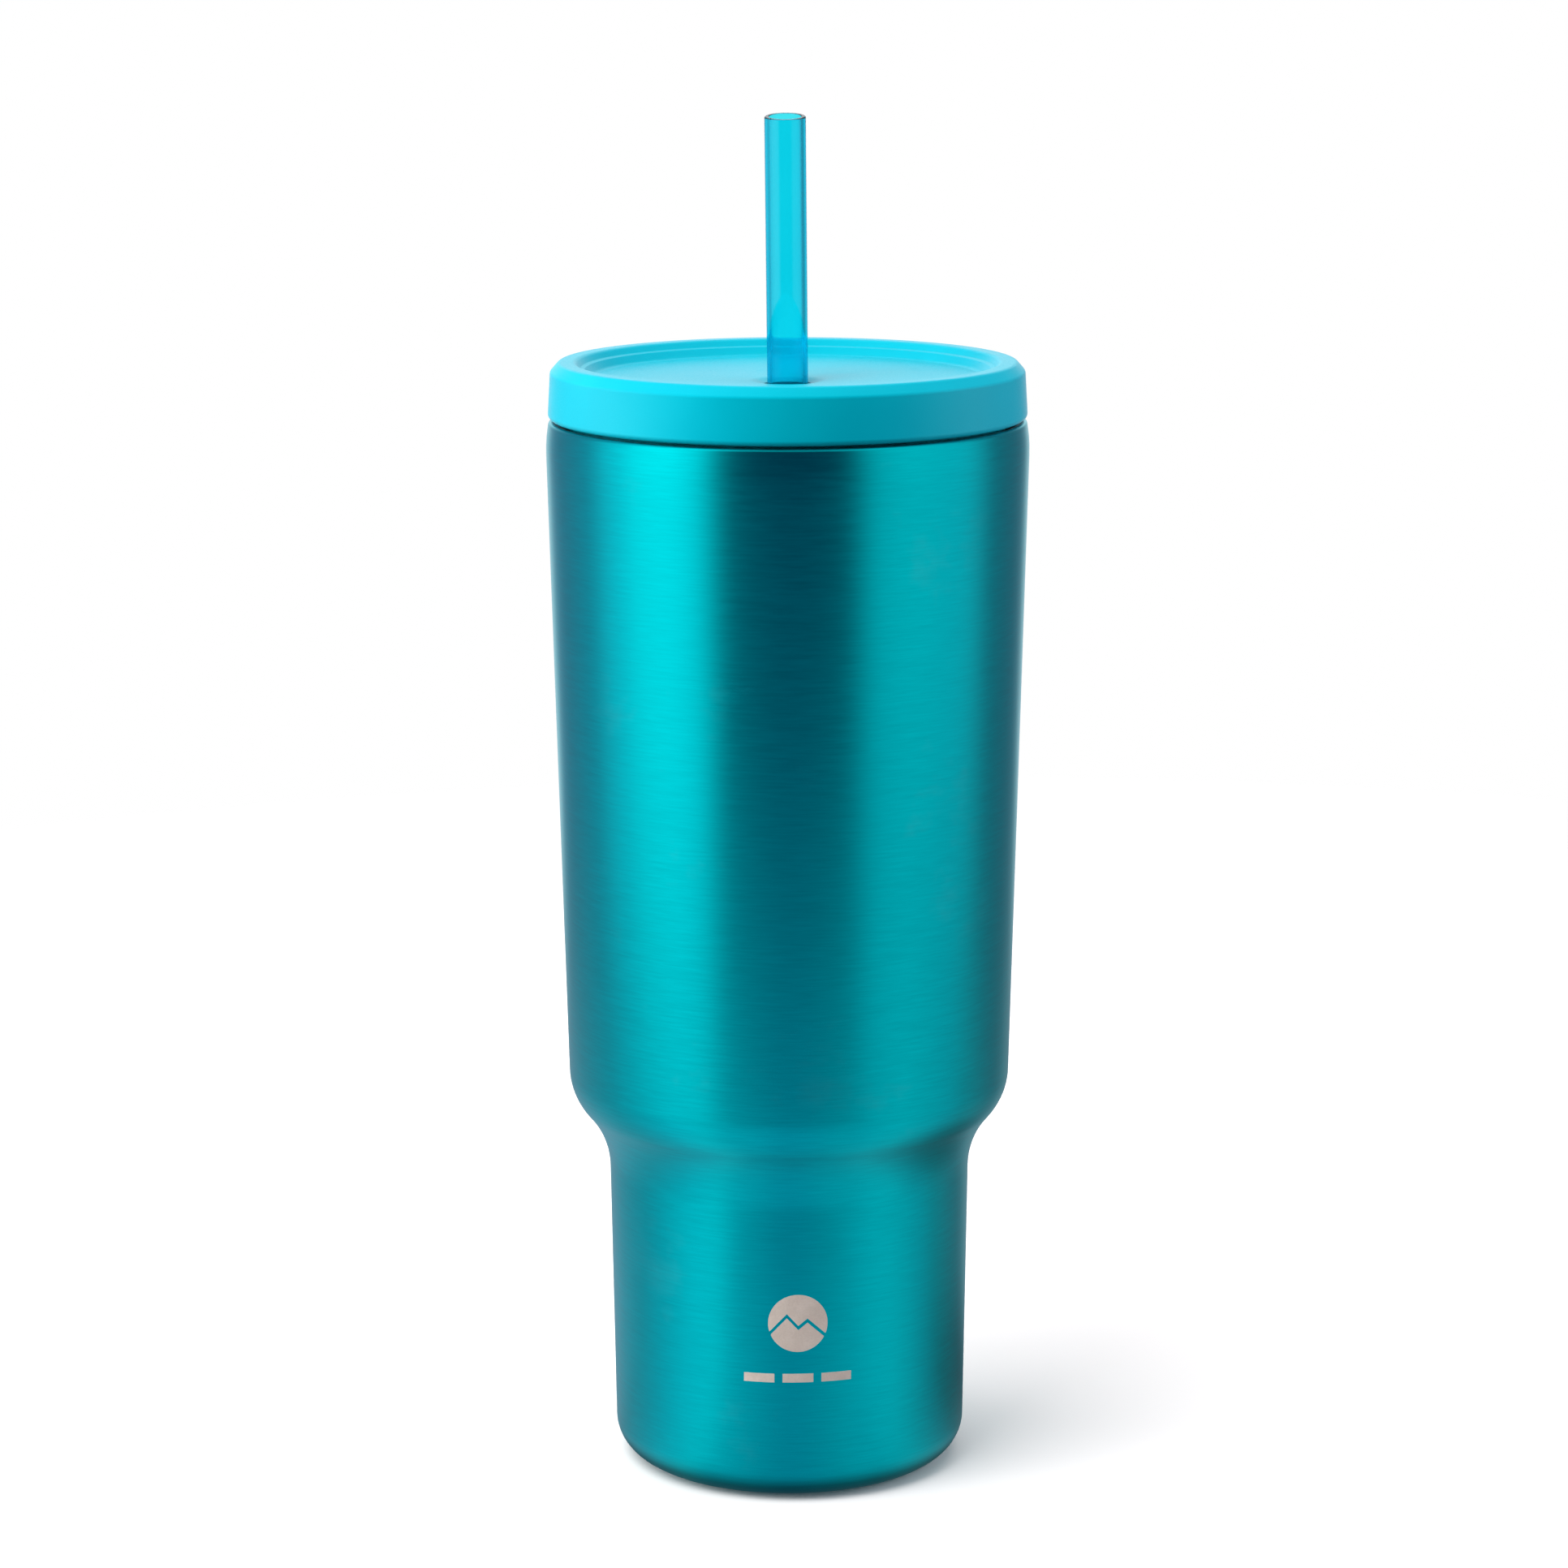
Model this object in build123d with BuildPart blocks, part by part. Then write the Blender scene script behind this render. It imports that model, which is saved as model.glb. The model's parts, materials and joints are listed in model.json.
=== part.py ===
"""Vacuum-insulated straw tumbler: a stepped double-wall steel cup, a push-in lid and a loose straw.

Frame: millimetres, +Z up, origin at the centre of the foot, on the surface the cup stands on.
The straw leans towards -Y. Nearly every piece is a body of revolution about Z.
"""
import os
from math import cos, hypot, radians, sin

from build123d import *

# ---------------------------------------------------------------- driving dimensions
# Outer skin of the cup: corner points of its profile (radius, height) before rounding.
FOOT_SEAM = (27.5, 0.0)
BASE_CORNER = (37.2, 0.0)
STEP_LOW = (38.3, 70.4)
STEP_HIGH = (46.53, 80.1)
SHOULDER = (50.12, 219.0)
LIP_EDGE = (49.47, 222.9)
LIP_CREST = (48.6, 222.9)
BASE_ROUND = 8.0
STEP_HOLLOW_ROUND = 20.0
STEP_BELLY_ROUND = 13.2
SHOULDER_ROUND = 32.0
LIP_ROUND = 0.8

# Double wall.
SHEET = 0.5
VACUUM_GAP = 2.6
LINER_INSET = SHEET + VACUUM_GAP + SHEET
LINER_FLOOR = 7.6
LINER_FLOOR_ROUND = 3.5
LINER_SEAM = 20.0
FLARE_START = 217.6
FLARE_ROUND = 8.0
FLARE_TOP_RADIUS = 47.85

# Heat-reflecting copper sleeve wrapped round the liner.
FOIL_THICKNESS = 0.2
FOIL_CLEARANCE = 0.15
FOIL_BOTTOM = 24.0
FOIL_TOP = 203.0

# Bottom end cap with its evacuation port, and what sits in the recess.
CAP_THICKNESS = 0.6
FOOT_INNER_RADIUS = 26.0
RECESS_RADIUS = 24.6
RECESS_HEIGHT = 2.4
PORT_DIMPLE_RADIUS = 4.6
PORT_SEAT_RADIUS = 3.4
PORT_SEAT_HEIGHT = 3.8
PORT_HOLE_RADIUS = 0.8
CAP_ROUND = 0.9
BEAD_RADIUS = 2.5
BEAD_DEPTH = 1.0
COVER_RADIUS = 22.8
COVER_THICKNESS = 0.6
COVER_GROOVE_RADII = (8.0, 18.5)
COVER_GROOVE_WIDTH = 0.8
COVER_GROOVE_DEPTH = 0.2

# Getter: a pill of gas-absorbing alloy under a spot-welded strap, inside the vacuum.
GETTER_OFFSET = 14.0
GETTER_RADIUS = 4.5
GETTER_HEIGHT = 1.8
GETTER_ROUND = 0.4
STRAP_WIDTH = 3.2
STRAP_THICKNESS = 0.3
STRAP_FOOT = 3.0

# Lid shell: skirt, bevelled rim and a two-step dish with a straw hole.
SKIRT_BOTTOM = 223.4
SKIRT_RADIUS = 49.65
BEVEL_LOW = (49.1, 233.05)
BEVEL_HIGH = (47.3, 235.1)
DISH_RIM = (43.2, 235.1)
LEDGE_OUTER = (42.8, 233.55)
LEDGE_INNER = (42.0, 233.55)
DISH_EDGE = (40.6, 231.85)
FUNNEL_EDGE = (17.0, 231.35)
COUNTERSINK_EDGE = (7.3, 231.05)
STRAW_HOLE_RADIUS = 4.95
HOLE_LAND_TOP = 230.3
LID_UNDERSIDE = 229.2
RIM_CORE_TOP = 232.9
RIM_CORE_RADIUS = 45.3
SKIRT_INNER_RADIUS = 47.6

SKIRT_ROUND = 1.1
BEVEL_ROUND = 1.2
DISH_RIM_ROUND = 0.6
LEDGE_ROUND = 0.25
DISH_FLOOR_ROUND = 1.4
FUNNEL_ROUND = 6.0
UNDERSIDE_ROUND = 0.3

# Plug ring welded under the lid shell, with the groove that holds the seal.
PLUG_RADIUS = 45.0
PLUG_NECK_INNER_RADIUS = 42.9
PLUG_INNER_RADIUS = 41.2
PLUG_NECK_BOTTOM = 220.1
PLUG_BOTTOM = 210.6
PLUG_ROUND = 0.8
PLUG_FLANGE_RADIUS = 47.4
PLUG_FLANGE_BOTTOM = 223.2
PLUG_FLANGE_TOP = 225.0
GROOVE_RADIUS = 43.2
GROOVE_BOTTOM = 212.7
GROOVE_TOP = 218.1

# Silicone seal: a band in the groove with two upswept fins that wipe the mouth of the liner.
SEAL_BAND_RADIUS = 44.8
SEAL_CLEARANCE = 0.1
FIN_CLEARANCE = 0.14
FIN_ROOT = 1.2
FIN_TIP = 0.5
FIN_SWEEP = 0.5
FIN_HEIGHTS = (214.0, 216.6)

# Straw: stands on the liner floor and leans through the centre of the lid's hole.
STRAW_RADIUS = 4.25
STRAW_BORE_RADIUS = 3.3
STRAW_LENGTH = 279.4
STRAW_LEAN = 7.1
STRAW_BEARING = 3.6
STRAW_END_ROUND = 0.3
STRAW_PIVOT_HEIGHT = 230.1
STRAW_FOOT_CLEARANCE = 0.1


# ---------------------------------------------------------------- profile helpers
def point_at(height, low, high):
    """Point at a given height on the straight line through two profile corners."""
    share = (height - low[1]) / (high[1] - low[1])
    return (low[0] + share * (high[0] - low[0]), height)


def inward(start, end):
    """Unit normal on the left of the run from start to end, which faces the axis on the way up."""
    length = hypot(end[0] - start[0], end[1] - start[1])
    return (-(end[1] - start[1]) / length, (end[0] - start[0]) / length)


def inset_corners(corners, distance):
    """The same chain of corners moved sideways by distance, mitred at each corner."""
    normals = [inward(start, end) for start, end in zip(corners, corners[1:])]
    sides = list(zip([normals[0]] + normals, normals + [normals[-1]]))
    moved = []
    for (r, z), (before, after) in zip(corners, sides):
        spread = 1 + before[0] * after[0] + before[1] * after[1]
        shift_r = distance * (before[0] + after[0]) / spread
        shift_z = distance * (before[1] + after[1]) / spread
        moved.append((r + shift_r, z + shift_z))
    return moved


def inset_rounds(rounds, distance):
    """Corner radii after the move: a belly (positive) tightens and a hollow (negative) opens."""
    return [abs(radius - distance) for radius in rounds]


def sheet_outline(corners, rounds, thickness, start_inset=0.0):
    """Closed outline of a bent sheet, drawn into the active BuildLine."""
    near = inset_corners(corners, start_inset)
    far = inset_corners(corners, start_inset + thickness)
    FilletPolyline(*near, radius=inset_rounds(rounds, start_inset))
    FilletPolyline(*far, radius=inset_rounds(rounds, start_inset + thickness))
    Line(near[0], far[0])
    Line(near[-1], far[-1])


# ---------------------------------------------------------------- tumbler: outer wall
SKIN_CORNERS = [FOOT_SEAM, BASE_CORNER, STEP_LOW, STEP_HIGH, SHOULDER, LIP_EDGE, LIP_CREST]
SKIN_ROUNDS = [BASE_ROUND, -STEP_HOLLOW_ROUND, STEP_BELLY_ROUND, SHOULDER_ROUND, LIP_ROUND]

with BuildPart() as outer_shell:
    with BuildSketch(Plane.XZ):
        with BuildLine():
            sheet_outline(SKIN_CORNERS, SKIN_ROUNDS, SHEET)
        make_face()
    revolve(axis=Axis.Z)

CAP_CORNERS = [
    (PORT_HOLE_RADIUS, PORT_SEAT_HEIGHT),
    (PORT_SEAT_RADIUS, PORT_SEAT_HEIGHT),
    (PORT_DIMPLE_RADIUS, RECESS_HEIGHT),
    (RECESS_RADIUS, RECESS_HEIGHT),
    (FOOT_INNER_RADIUS, 0.0),
    FOOT_SEAM,
]

with BuildPart() as outer_base:
    with BuildSketch(Plane.XZ):
        with BuildLine():
            sheet_outline(CAP_CORNERS, [-CAP_ROUND, CAP_ROUND, -CAP_ROUND, CAP_ROUND], CAP_THICKNESS)
        make_face()
    revolve(axis=Axis.Z)

# Solder bead that closes the evacuation port after the air is drawn out.
with BuildPart() as vacuum_seal_bead:
    with BuildSketch(Plane.XZ):
        with BuildLine():
            Polyline(
                (0, PORT_SEAT_HEIGHT - BEAD_DEPTH),
                (0, PORT_SEAT_HEIGHT + CAP_THICKNESS),
                (PORT_HOLE_RADIUS, PORT_SEAT_HEIGHT + CAP_THICKNESS),
                (PORT_HOLE_RADIUS, PORT_SEAT_HEIGHT),
                (BEAD_RADIUS, PORT_SEAT_HEIGHT),
            )
            EllipticalCenterArc((0, PORT_SEAT_HEIGHT), BEAD_RADIUS, BEAD_DEPTH, start_angle=270, arc_size=90)
        make_face()
    revolve(axis=Axis.Z)

# Thin disc glued into the recess over the port.
with BuildPart() as base_cover:
    with BuildSketch(Plane.XY.offset(RECESS_HEIGHT - COVER_THICKNESS)):
        Circle(COVER_RADIUS)
    extrude(amount=COVER_THICKNESS)
    chamfer(base_cover.edges().group_by(Axis.Z)[0], length=COVER_GROOVE_DEPTH)
    with BuildSketch(Plane.XY.offset(RECESS_HEIGHT - COVER_THICKNESS)):
        for radius in COVER_GROOVE_RADII:
            Circle(radius + COVER_GROOVE_WIDTH / 2)
            Circle(radius - COVER_GROOVE_WIDTH / 2, mode=Mode.SUBTRACT)
    extrude(amount=COVER_GROOVE_DEPTH, mode=Mode.SUBTRACT)

# ---------------------------------------------------------------- tumbler: inside the vacuum
GETTER_SEAT = RECESS_HEIGHT + CAP_THICKNESS

with BuildPart() as getter_pill:
    with BuildSketch(Plane.XY.offset(GETTER_SEAT)):
        with Locations((GETTER_OFFSET, 0)):
            Circle(GETTER_RADIUS)
    extrude(amount=GETTER_HEIGHT)
    fillet(getter_pill.edges().group_by(Axis.Z)[-1], radius=GETTER_ROUND)

with BuildPart() as getter_clip:
    with BuildSketch(Plane.XZ):
        with Locations((GETTER_OFFSET, GETTER_SEAT)):
            Rectangle(
                2 * (GETTER_RADIUS + STRAP_FOOT), STRAP_THICKNESS, align=(Align.CENTER, Align.MIN)
            )
            Rectangle(
                2 * (GETTER_RADIUS + STRAP_THICKNESS),
                GETTER_HEIGHT + STRAP_THICKNESS,
                align=(Align.CENTER, Align.MIN),
            )
            Rectangle(
                2 * GETTER_RADIUS,
                GETTER_HEIGHT,
                align=(Align.CENTER, Align.MIN),
                mode=Mode.SUBTRACT,
            )
    extrude(amount=STRAP_WIDTH / 2, both=True)

# ---------------------------------------------------------------- tumbler: liner
# The liner's wet face runs parallel to the outer skin and flares out to the lip at the mouth.
BASE_WET, LOW_WET, HIGH_WET, SHOULDER_WET = inset_corners(SKIN_CORNERS, LINER_INSET)[1:5]
LINER_SEAM_POINT = point_at(LINER_SEAM, BASE_WET, LOW_WET)
LINER_CORNERS = [
    LINER_SEAM_POINT,
    LOW_WET,
    HIGH_WET,
    point_at(FLARE_START, HIGH_WET, SHOULDER_WET),
    (FLARE_TOP_RADIUS, LIP_CREST[1]),
    LIP_CREST,
]
LINER_ROUNDS = [
    -(STEP_HOLLOW_ROUND + LINER_INSET),
    STEP_BELLY_ROUND - LINER_INSET,
    -FLARE_ROUND,
    -LIP_ROUND,
]

with BuildPart() as inner_liner:
    with BuildSketch(Plane.XZ):
        with BuildLine():
            sheet_outline(LINER_CORNERS, LINER_ROUNDS, SHEET, start_inset=-SHEET)
        make_face()
    revolve(axis=Axis.Z)

LINER_BASE_CORNERS = [
    (0.0, LINER_FLOOR),
    point_at(LINER_FLOOR, BASE_WET, LOW_WET),
    LINER_SEAM_POINT,
]

with BuildPart() as liner_base:
    with BuildSketch(Plane.XZ):
        with BuildLine():
            sheet_outline(LINER_BASE_CORNERS, [LINER_FLOOR_ROUND], SHEET, start_inset=-SHEET)
        make_face()
    revolve(axis=Axis.Z)

FOIL_CORNERS = [
    point_at(FOIL_BOTTOM, BASE_CORNER, STEP_LOW),
    STEP_LOW,
    STEP_HIGH,
    point_at(FOIL_TOP, STEP_HIGH, SHOULDER),
]
FOIL_INSET = SHEET + VACUUM_GAP - FOIL_CLEARANCE - FOIL_THICKNESS

with BuildPart() as copper_foil:
    with BuildSketch(Plane.XZ):
        with BuildLine():
            sheet_outline(
                FOIL_CORNERS, [-STEP_HOLLOW_ROUND, STEP_BELLY_ROUND], FOIL_THICKNESS, start_inset=FOIL_INSET
            )
        make_face()
    revolve(axis=Axis.Z)

# ---------------------------------------------------------------- lid
with BuildPart() as lid_shell:
    with BuildSketch(Plane.XZ):
        with BuildLine():
            FilletPolyline(
                (SKIRT_INNER_RADIUS, SKIRT_BOTTOM),
                (SKIRT_RADIUS, SKIRT_BOTTOM),
                BEVEL_LOW,
                BEVEL_HIGH,
                DISH_RIM,
                LEDGE_OUTER,
                LEDGE_INNER,
                DISH_EDGE,
                FUNNEL_EDGE,
                COUNTERSINK_EDGE,
                (STRAW_HOLE_RADIUS, HOLE_LAND_TOP),
                radius=[
                    SKIRT_ROUND,
                    BEVEL_ROUND,
                    BEVEL_ROUND,
                    DISH_RIM_ROUND,
                    LEDGE_ROUND,
                    LEDGE_ROUND,
                    DISH_FLOOR_ROUND,
                    FUNNEL_ROUND,
                    FUNNEL_ROUND,
                ],
            )
            Line((STRAW_HOLE_RADIUS, HOLE_LAND_TOP), (STRAW_HOLE_RADIUS, LID_UNDERSIDE))
            FilletPolyline(
                (STRAW_HOLE_RADIUS, LID_UNDERSIDE),
                (RIM_CORE_RADIUS, LID_UNDERSIDE),
                (RIM_CORE_RADIUS, RIM_CORE_TOP),
                (SKIRT_INNER_RADIUS, RIM_CORE_TOP),
                (SKIRT_INNER_RADIUS, SKIRT_BOTTOM),
                radius=UNDERSIDE_ROUND,
            )
        make_face()
    revolve(axis=Axis.Z)

with BuildPart() as lid_insert:
    with BuildSketch(Plane.XZ):
        with BuildLine():
            Polyline(
                (PLUG_NECK_INNER_RADIUS, LID_UNDERSIDE),
                (PLUG_RADIUS, LID_UNDERSIDE),
                (PLUG_RADIUS, PLUG_FLANGE_TOP),
                (PLUG_FLANGE_RADIUS, PLUG_FLANGE_TOP),
                (PLUG_FLANGE_RADIUS, PLUG_FLANGE_BOTTOM),
                (PLUG_RADIUS, PLUG_FLANGE_BOTTOM),
                (PLUG_RADIUS, GROOVE_TOP),
                (GROOVE_RADIUS, GROOVE_TOP),
                (GROOVE_RADIUS, GROOVE_BOTTOM),
                (PLUG_RADIUS, GROOVE_BOTTOM),
            )
            FilletPolyline(
                (PLUG_RADIUS, GROOVE_BOTTOM),
                (PLUG_RADIUS, PLUG_BOTTOM),
                (PLUG_INNER_RADIUS, PLUG_BOTTOM),
                (PLUG_INNER_RADIUS, GROOVE_TOP),
                (PLUG_NECK_INNER_RADIUS, PLUG_NECK_BOTTOM),
                (PLUG_NECK_INNER_RADIUS, LID_UNDERSIDE),
                radius=PLUG_ROUND,
            )
        make_face()
    revolve(axis=Axis.Z)


def fin_outline(height):
    """Corner points of one seal fin, bottom to top, between the band and the liner's wet face."""
    tip_height = height + FIN_SWEEP
    tip_radius = point_at(tip_height, HIGH_WET, SHOULDER_WET)[0] - FIN_CLEARANCE
    return [
        (SEAL_BAND_RADIUS, height - FIN_ROOT / 2),
        (tip_radius, tip_height - FIN_TIP / 2),
        (tip_radius, tip_height + FIN_TIP / 2),
        (SEAL_BAND_RADIUS, height + FIN_ROOT / 2),
    ]


SEAL_CORNERS = [
    (GROOVE_RADIUS + SEAL_CLEARANCE, GROOVE_BOTTOM + SEAL_CLEARANCE),
    (SEAL_BAND_RADIUS, GROOVE_BOTTOM + SEAL_CLEARANCE),
    *fin_outline(FIN_HEIGHTS[0]),
    *fin_outline(FIN_HEIGHTS[1]),
    (SEAL_BAND_RADIUS, GROOVE_TOP - SEAL_CLEARANCE),
    (GROOVE_RADIUS + SEAL_CLEARANCE, GROOVE_TOP - SEAL_CLEARANCE),
]

with BuildPart() as lid_seal:
    with BuildSketch(Plane.XZ):
        with BuildLine():
            Polyline(*SEAL_CORNERS, close=True)
        make_face()
    revolve(axis=Axis.Z)

# ---------------------------------------------------------------- straw
LEAN = radians(STRAW_LEAN)
BEARING = radians(STRAW_BEARING)
STRAW_AXIS = Vector(-sin(LEAN) * sin(BEARING), -sin(LEAN) * cos(BEARING), cos(LEAN))
STRAW_FOOT_HEIGHT = LINER_FLOOR + STRAW_FOOT_CLEARANCE + STRAW_RADIUS * sin(LEAN)
STRAW_PIVOT = Vector(0, 0, STRAW_PIVOT_HEIGHT)
STRAW_FOOT = STRAW_PIVOT - STRAW_AXIS * ((STRAW_PIVOT_HEIGHT - STRAW_FOOT_HEIGHT) / cos(LEAN))

with BuildPart() as straw:
    with BuildSketch(Plane(origin=STRAW_FOOT, z_dir=STRAW_AXIS)):
        Circle(STRAW_RADIUS)
        Circle(STRAW_BORE_RADIUS, mode=Mode.SUBTRACT)
    extrude(amount=STRAW_LENGTH)
    fillet(straw.edges().filter_by(GeomType.CIRCLE), radius=STRAW_END_ROUND)

# ---------------------------------------------------------------- output
PIECES = {
    "outer_shell": outer_shell,
    "outer_base": outer_base,
    "vacuum_seal_bead": vacuum_seal_bead,
    "base_cover": base_cover,
    "getter_pill": getter_pill,
    "getter_clip": getter_clip,
    "inner_liner": inner_liner,
    "liner_base": liner_base,
    "copper_foil": copper_foil,
    "lid_shell": lid_shell,
    "lid_insert": lid_insert,
    "lid_seal": lid_seal,
    "straw": straw,
}

os.makedirs("parts", exist_ok=True)
for name, piece in PIECES.items():
    piece.part.label = name
    export_step(piece.part, f"parts/{name}.step")
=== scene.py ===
"""Looks for the insulated straw tumbler: finished meshes, materials, studio light and camera.

Everything stands in the CAD frame, in metres: +Z up, the origin at the centre of the foot, and the straw's
top leaning towards -Y. Profiles are written in millimetres, as (radius, height).
"""

import json
import math

import bmesh
import bpy
from mathutils import Matrix, Vector


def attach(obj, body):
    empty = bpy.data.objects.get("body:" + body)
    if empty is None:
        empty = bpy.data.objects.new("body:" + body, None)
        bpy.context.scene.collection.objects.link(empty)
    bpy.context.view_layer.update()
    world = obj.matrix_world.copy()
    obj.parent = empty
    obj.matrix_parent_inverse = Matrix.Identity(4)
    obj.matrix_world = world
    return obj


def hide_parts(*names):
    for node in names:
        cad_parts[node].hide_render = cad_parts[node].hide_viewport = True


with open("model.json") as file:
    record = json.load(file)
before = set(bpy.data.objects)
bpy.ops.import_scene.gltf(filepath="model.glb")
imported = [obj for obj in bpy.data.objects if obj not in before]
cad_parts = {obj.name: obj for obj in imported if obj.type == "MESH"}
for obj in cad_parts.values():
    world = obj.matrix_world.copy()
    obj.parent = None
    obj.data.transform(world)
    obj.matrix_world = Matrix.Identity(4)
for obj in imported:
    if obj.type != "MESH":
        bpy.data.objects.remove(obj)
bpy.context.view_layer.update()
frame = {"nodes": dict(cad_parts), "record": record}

MM = 0.001
MICRON = 1e-6

# ---------------------------------------------------------------- mesh settings (lengths in millimetres)
SEGMENTS = 288
STRAW_SEGMENTS = 96
ARC_STEP = math.radians(4.0)
LONGEST_RUN = 6.0
SHARP_ANGLE = math.radians(32.0)
ON_AXIS = 1e-6
MERGE_DISTANCE = 1e-4

# ---------------------------------------------------------------- profile dimensions (millimetres)
SHEET = 0.5
VACUUM_GAP = 2.6
LINER_INSET = 2 * SHEET + VACUUM_GAP
BASE_CORNER = (37.2, 0.0)
STEP_LOW = (38.3, 70.4)
LIP_CREST = (48.6, 222.9)
SKIN = [(27.5, 0.0), BASE_CORNER, STEP_LOW, (46.53, 80.1), (50.12, 219.0), (49.47, 222.9), LIP_CREST]
SKIN_ROUNDS = [8.0, -20.0, 13.2, 32.0, 0.8]
CAP = [(0.8, 3.8), (3.4, 3.8), (4.6, 2.4), (24.6, 2.4), (26.0, 0.0), (27.5, 0.0)]
CAP_ROUNDS = [-0.9, 0.9, -0.9, 0.9]
CAP_THICKNESS = 0.6
COVER_RADIUS = 22.8
COVER_BOTTOM = 1.8
COVER_TOP = 2.4
COVER_GROOVES = (8.0, 18.5)
GROOVE_HALF_WIDTH = 0.4
GROOVE_DEPTH = 0.2
LINER_FLOOR = 7.6
LINER_FLOOR_ROUND = 3.5
LINER_SEAM = 20.0
FLARE_START = 217.6
FLARE_TOP_RADIUS = 47.85
FLARE_ROUND = 8.0
LIP_ROUND = 0.8
SKIRT_BOTTOM = (47.6, 223.4)
LID_TOP = [
    SKIRT_BOTTOM, (49.65, 223.4), (49.1, 233.05), (47.3, 235.1), (43.9, 235.1), (42.7, 233.75),
    (41.9, 233.5), (40.4, 231.85), (17.0, 231.35), (7.3, 231.05), (4.95, 230.3),
]
LID_TOP_ROUNDS = [1.1, 1.2, 1.2, 1.5, 0.5, 0.4, 1.6, 6.0, 6.0]
LID_UNDER = [(4.95, 229.2), (45.3, 229.2), (45.3, 232.9), (47.6, 232.9), SKIRT_BOTTOM]
LID_UNDER_ROUNDS = [0.3, 0.3, 0.3]
PLUG = [
    (42.9, 229.2), (45.0, 229.2), (45.0, 225.0), (47.4, 225.0), (47.4, 223.2), (45.0, 223.2),
    (45.0, 218.1), (43.2, 218.1), (43.2, 212.7), (45.0, 212.7), (45.0, 210.6), (41.2, 210.6),
    (41.2, 218.1), (42.9, 220.1), (42.9, 229.2),
]
PLUG_ROUNDS = [0, 0, 0.3, 0.3, 0, 0.2, 0, 0, 0.2, 0.8, 0.8, 0.8, 0.8]
SEAL_INNER = 43.3
SEAL_BAND = 44.8
SEAL_LOW, SEAL_HIGH = 212.8, 218.0
FIN_HEIGHTS = (214.0, 216.6)
FIN_GAP = 0.14
FIN_SWEEP = 0.5
FIN_ROOT = 1.2
FIN_TIP = 0.5
FIN_ROUND = 0.2
SEAL_ROUND = 0.15
STRAW_RADIUS = 4.25
STRAW_END_ROUND = 0.3

# ---------------------------------------------------------------- colours (linear red, green, blue)
LACQUER_DARK = (0.0, 0.575, 0.615)
LACQUER_LIGHT = (0.0, 0.675, 0.715)
LACQUER_CLOUD = (0.0, 0.57, 0.63)
LACQUER_MARK = (0.35, 0.62, 0.66)
ROLLED_DARK = (0.50, 0.49, 0.48)
ROLLED_LIGHT = (0.66, 0.65, 0.63)
ROLLED_STAIN = (0.48, 0.46, 0.43)
SPUN_DARK = (0.46, 0.45, 0.44)
SPUN_LIGHT = (0.64, 0.63, 0.61)
SPUN_STAIN = (0.42, 0.40, 0.37)
LID_DARK = (0.0, 0.385, 0.50)
LID_LIGHT = (0.0, 0.415, 0.53)
PLUG_DARK = (0.0, 0.36, 0.45)
PLUG_LIGHT = (0.0, 0.40, 0.49)
MOULDED_GLINT = (0.02, 0.90, 1.0)
STRAW_DARK = (0.15, 0.95, 0.97)
STRAW_LIGHT = (0.20, 0.97, 0.98)
STRAW_GLINT = (0.60, 0.95, 1.0)
STRAW_DEPTH = (0.0, 0.86, 0.955)
SILICONE_DARK = (0.70, 0.74, 0.76)
SILICONE_LIGHT = (0.82, 0.85, 0.86)
ETCHED_DARK = (0.80, 0.67, 0.58)
ETCHED_LIGHT = (0.90, 0.77, 0.68)
COPPER_DARK = (0.72, 0.36, 0.22)
COPPER_LIGHT = (0.86, 0.50, 0.33)
SOLDER_DARK = (0.42, 0.42, 0.41)
SOLDER_LIGHT = (0.58, 0.57, 0.55)
GETTER_DARK = (0.20, 0.20, 0.21)
GETTER_LIGHT = (0.32, 0.31, 0.31)
FLOOR_DARK = (0.975, 0.937, 0.928)
FLOOR_LIGHT = (0.99, 0.952, 0.943)
WHITE = (1.0, 1.0, 1.0)


# ---------------------------------------------------------------- profile helpers
def offset(corners, distance):
    """A chain of corners moved to the left of its run by distance, mitred at each corner."""
    normals = []
    for (r0, z0), (r1, z1) in zip(corners, corners[1:]):
        length = math.hypot(r1 - r0, z1 - z0)
        normals.append(Vector((-(z1 - z0) / length, (r1 - r0) / length)))
    moved = []
    for corner, before, after in zip(corners, [normals[0]] + normals, normals + [normals[-1]]):
        shift = (before + after) * (distance / (1 + before.dot(after)))
        moved.append((corner[0] + shift.x, corner[1] + shift.y))
    return moved


def rounded(corners, radii):
    """The chain with its inner corners turned into arcs; a radius of 0 keeps the corner."""
    points = [Vector(corners[0])]
    for before, corner, after, radius in zip(corners, corners[1:], corners[2:], radii):
        here = Vector(corner)
        if radius == 0:
            points.append(here)
            continue
        back = (Vector(before) - here).normalized()
        ahead = (Vector(after) - here).normalized()
        half = back.angle(ahead) / 2
        centre = here + (back + ahead).normalized() * (radius / math.sin(half))
        first = here + back * (radius / math.tan(half)) - centre
        last = here + ahead * (radius / math.tan(half)) - centre
        sweep = first.angle_signed(last)
        steps = max(2, math.ceil(abs(sweep) / ARC_STEP))
        for step in range(steps + 1):
            points.append(centre + Matrix.Rotation(-sweep * step / steps, 2) @ first)
    points.append(Vector(corners[-1]))
    return points


def sheet_outline(corners, rounds, near, far):
    """Closed outline of a bent sheet between two offsets of one chain; hollows have negative radii."""
    inner = rounded(offset(corners, near), [abs(radius - near) for radius in rounds])
    outer = rounded(offset(corners, far), [abs(radius - far) for radius in rounds])
    return inner + outer[::-1]


def point_at(height, low, high):
    """Point at a height on the straight line through two corners."""
    share = (height - low[1]) / (high[1] - low[1])
    return (low[0] + share * (high[0] - low[0]), height)


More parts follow.
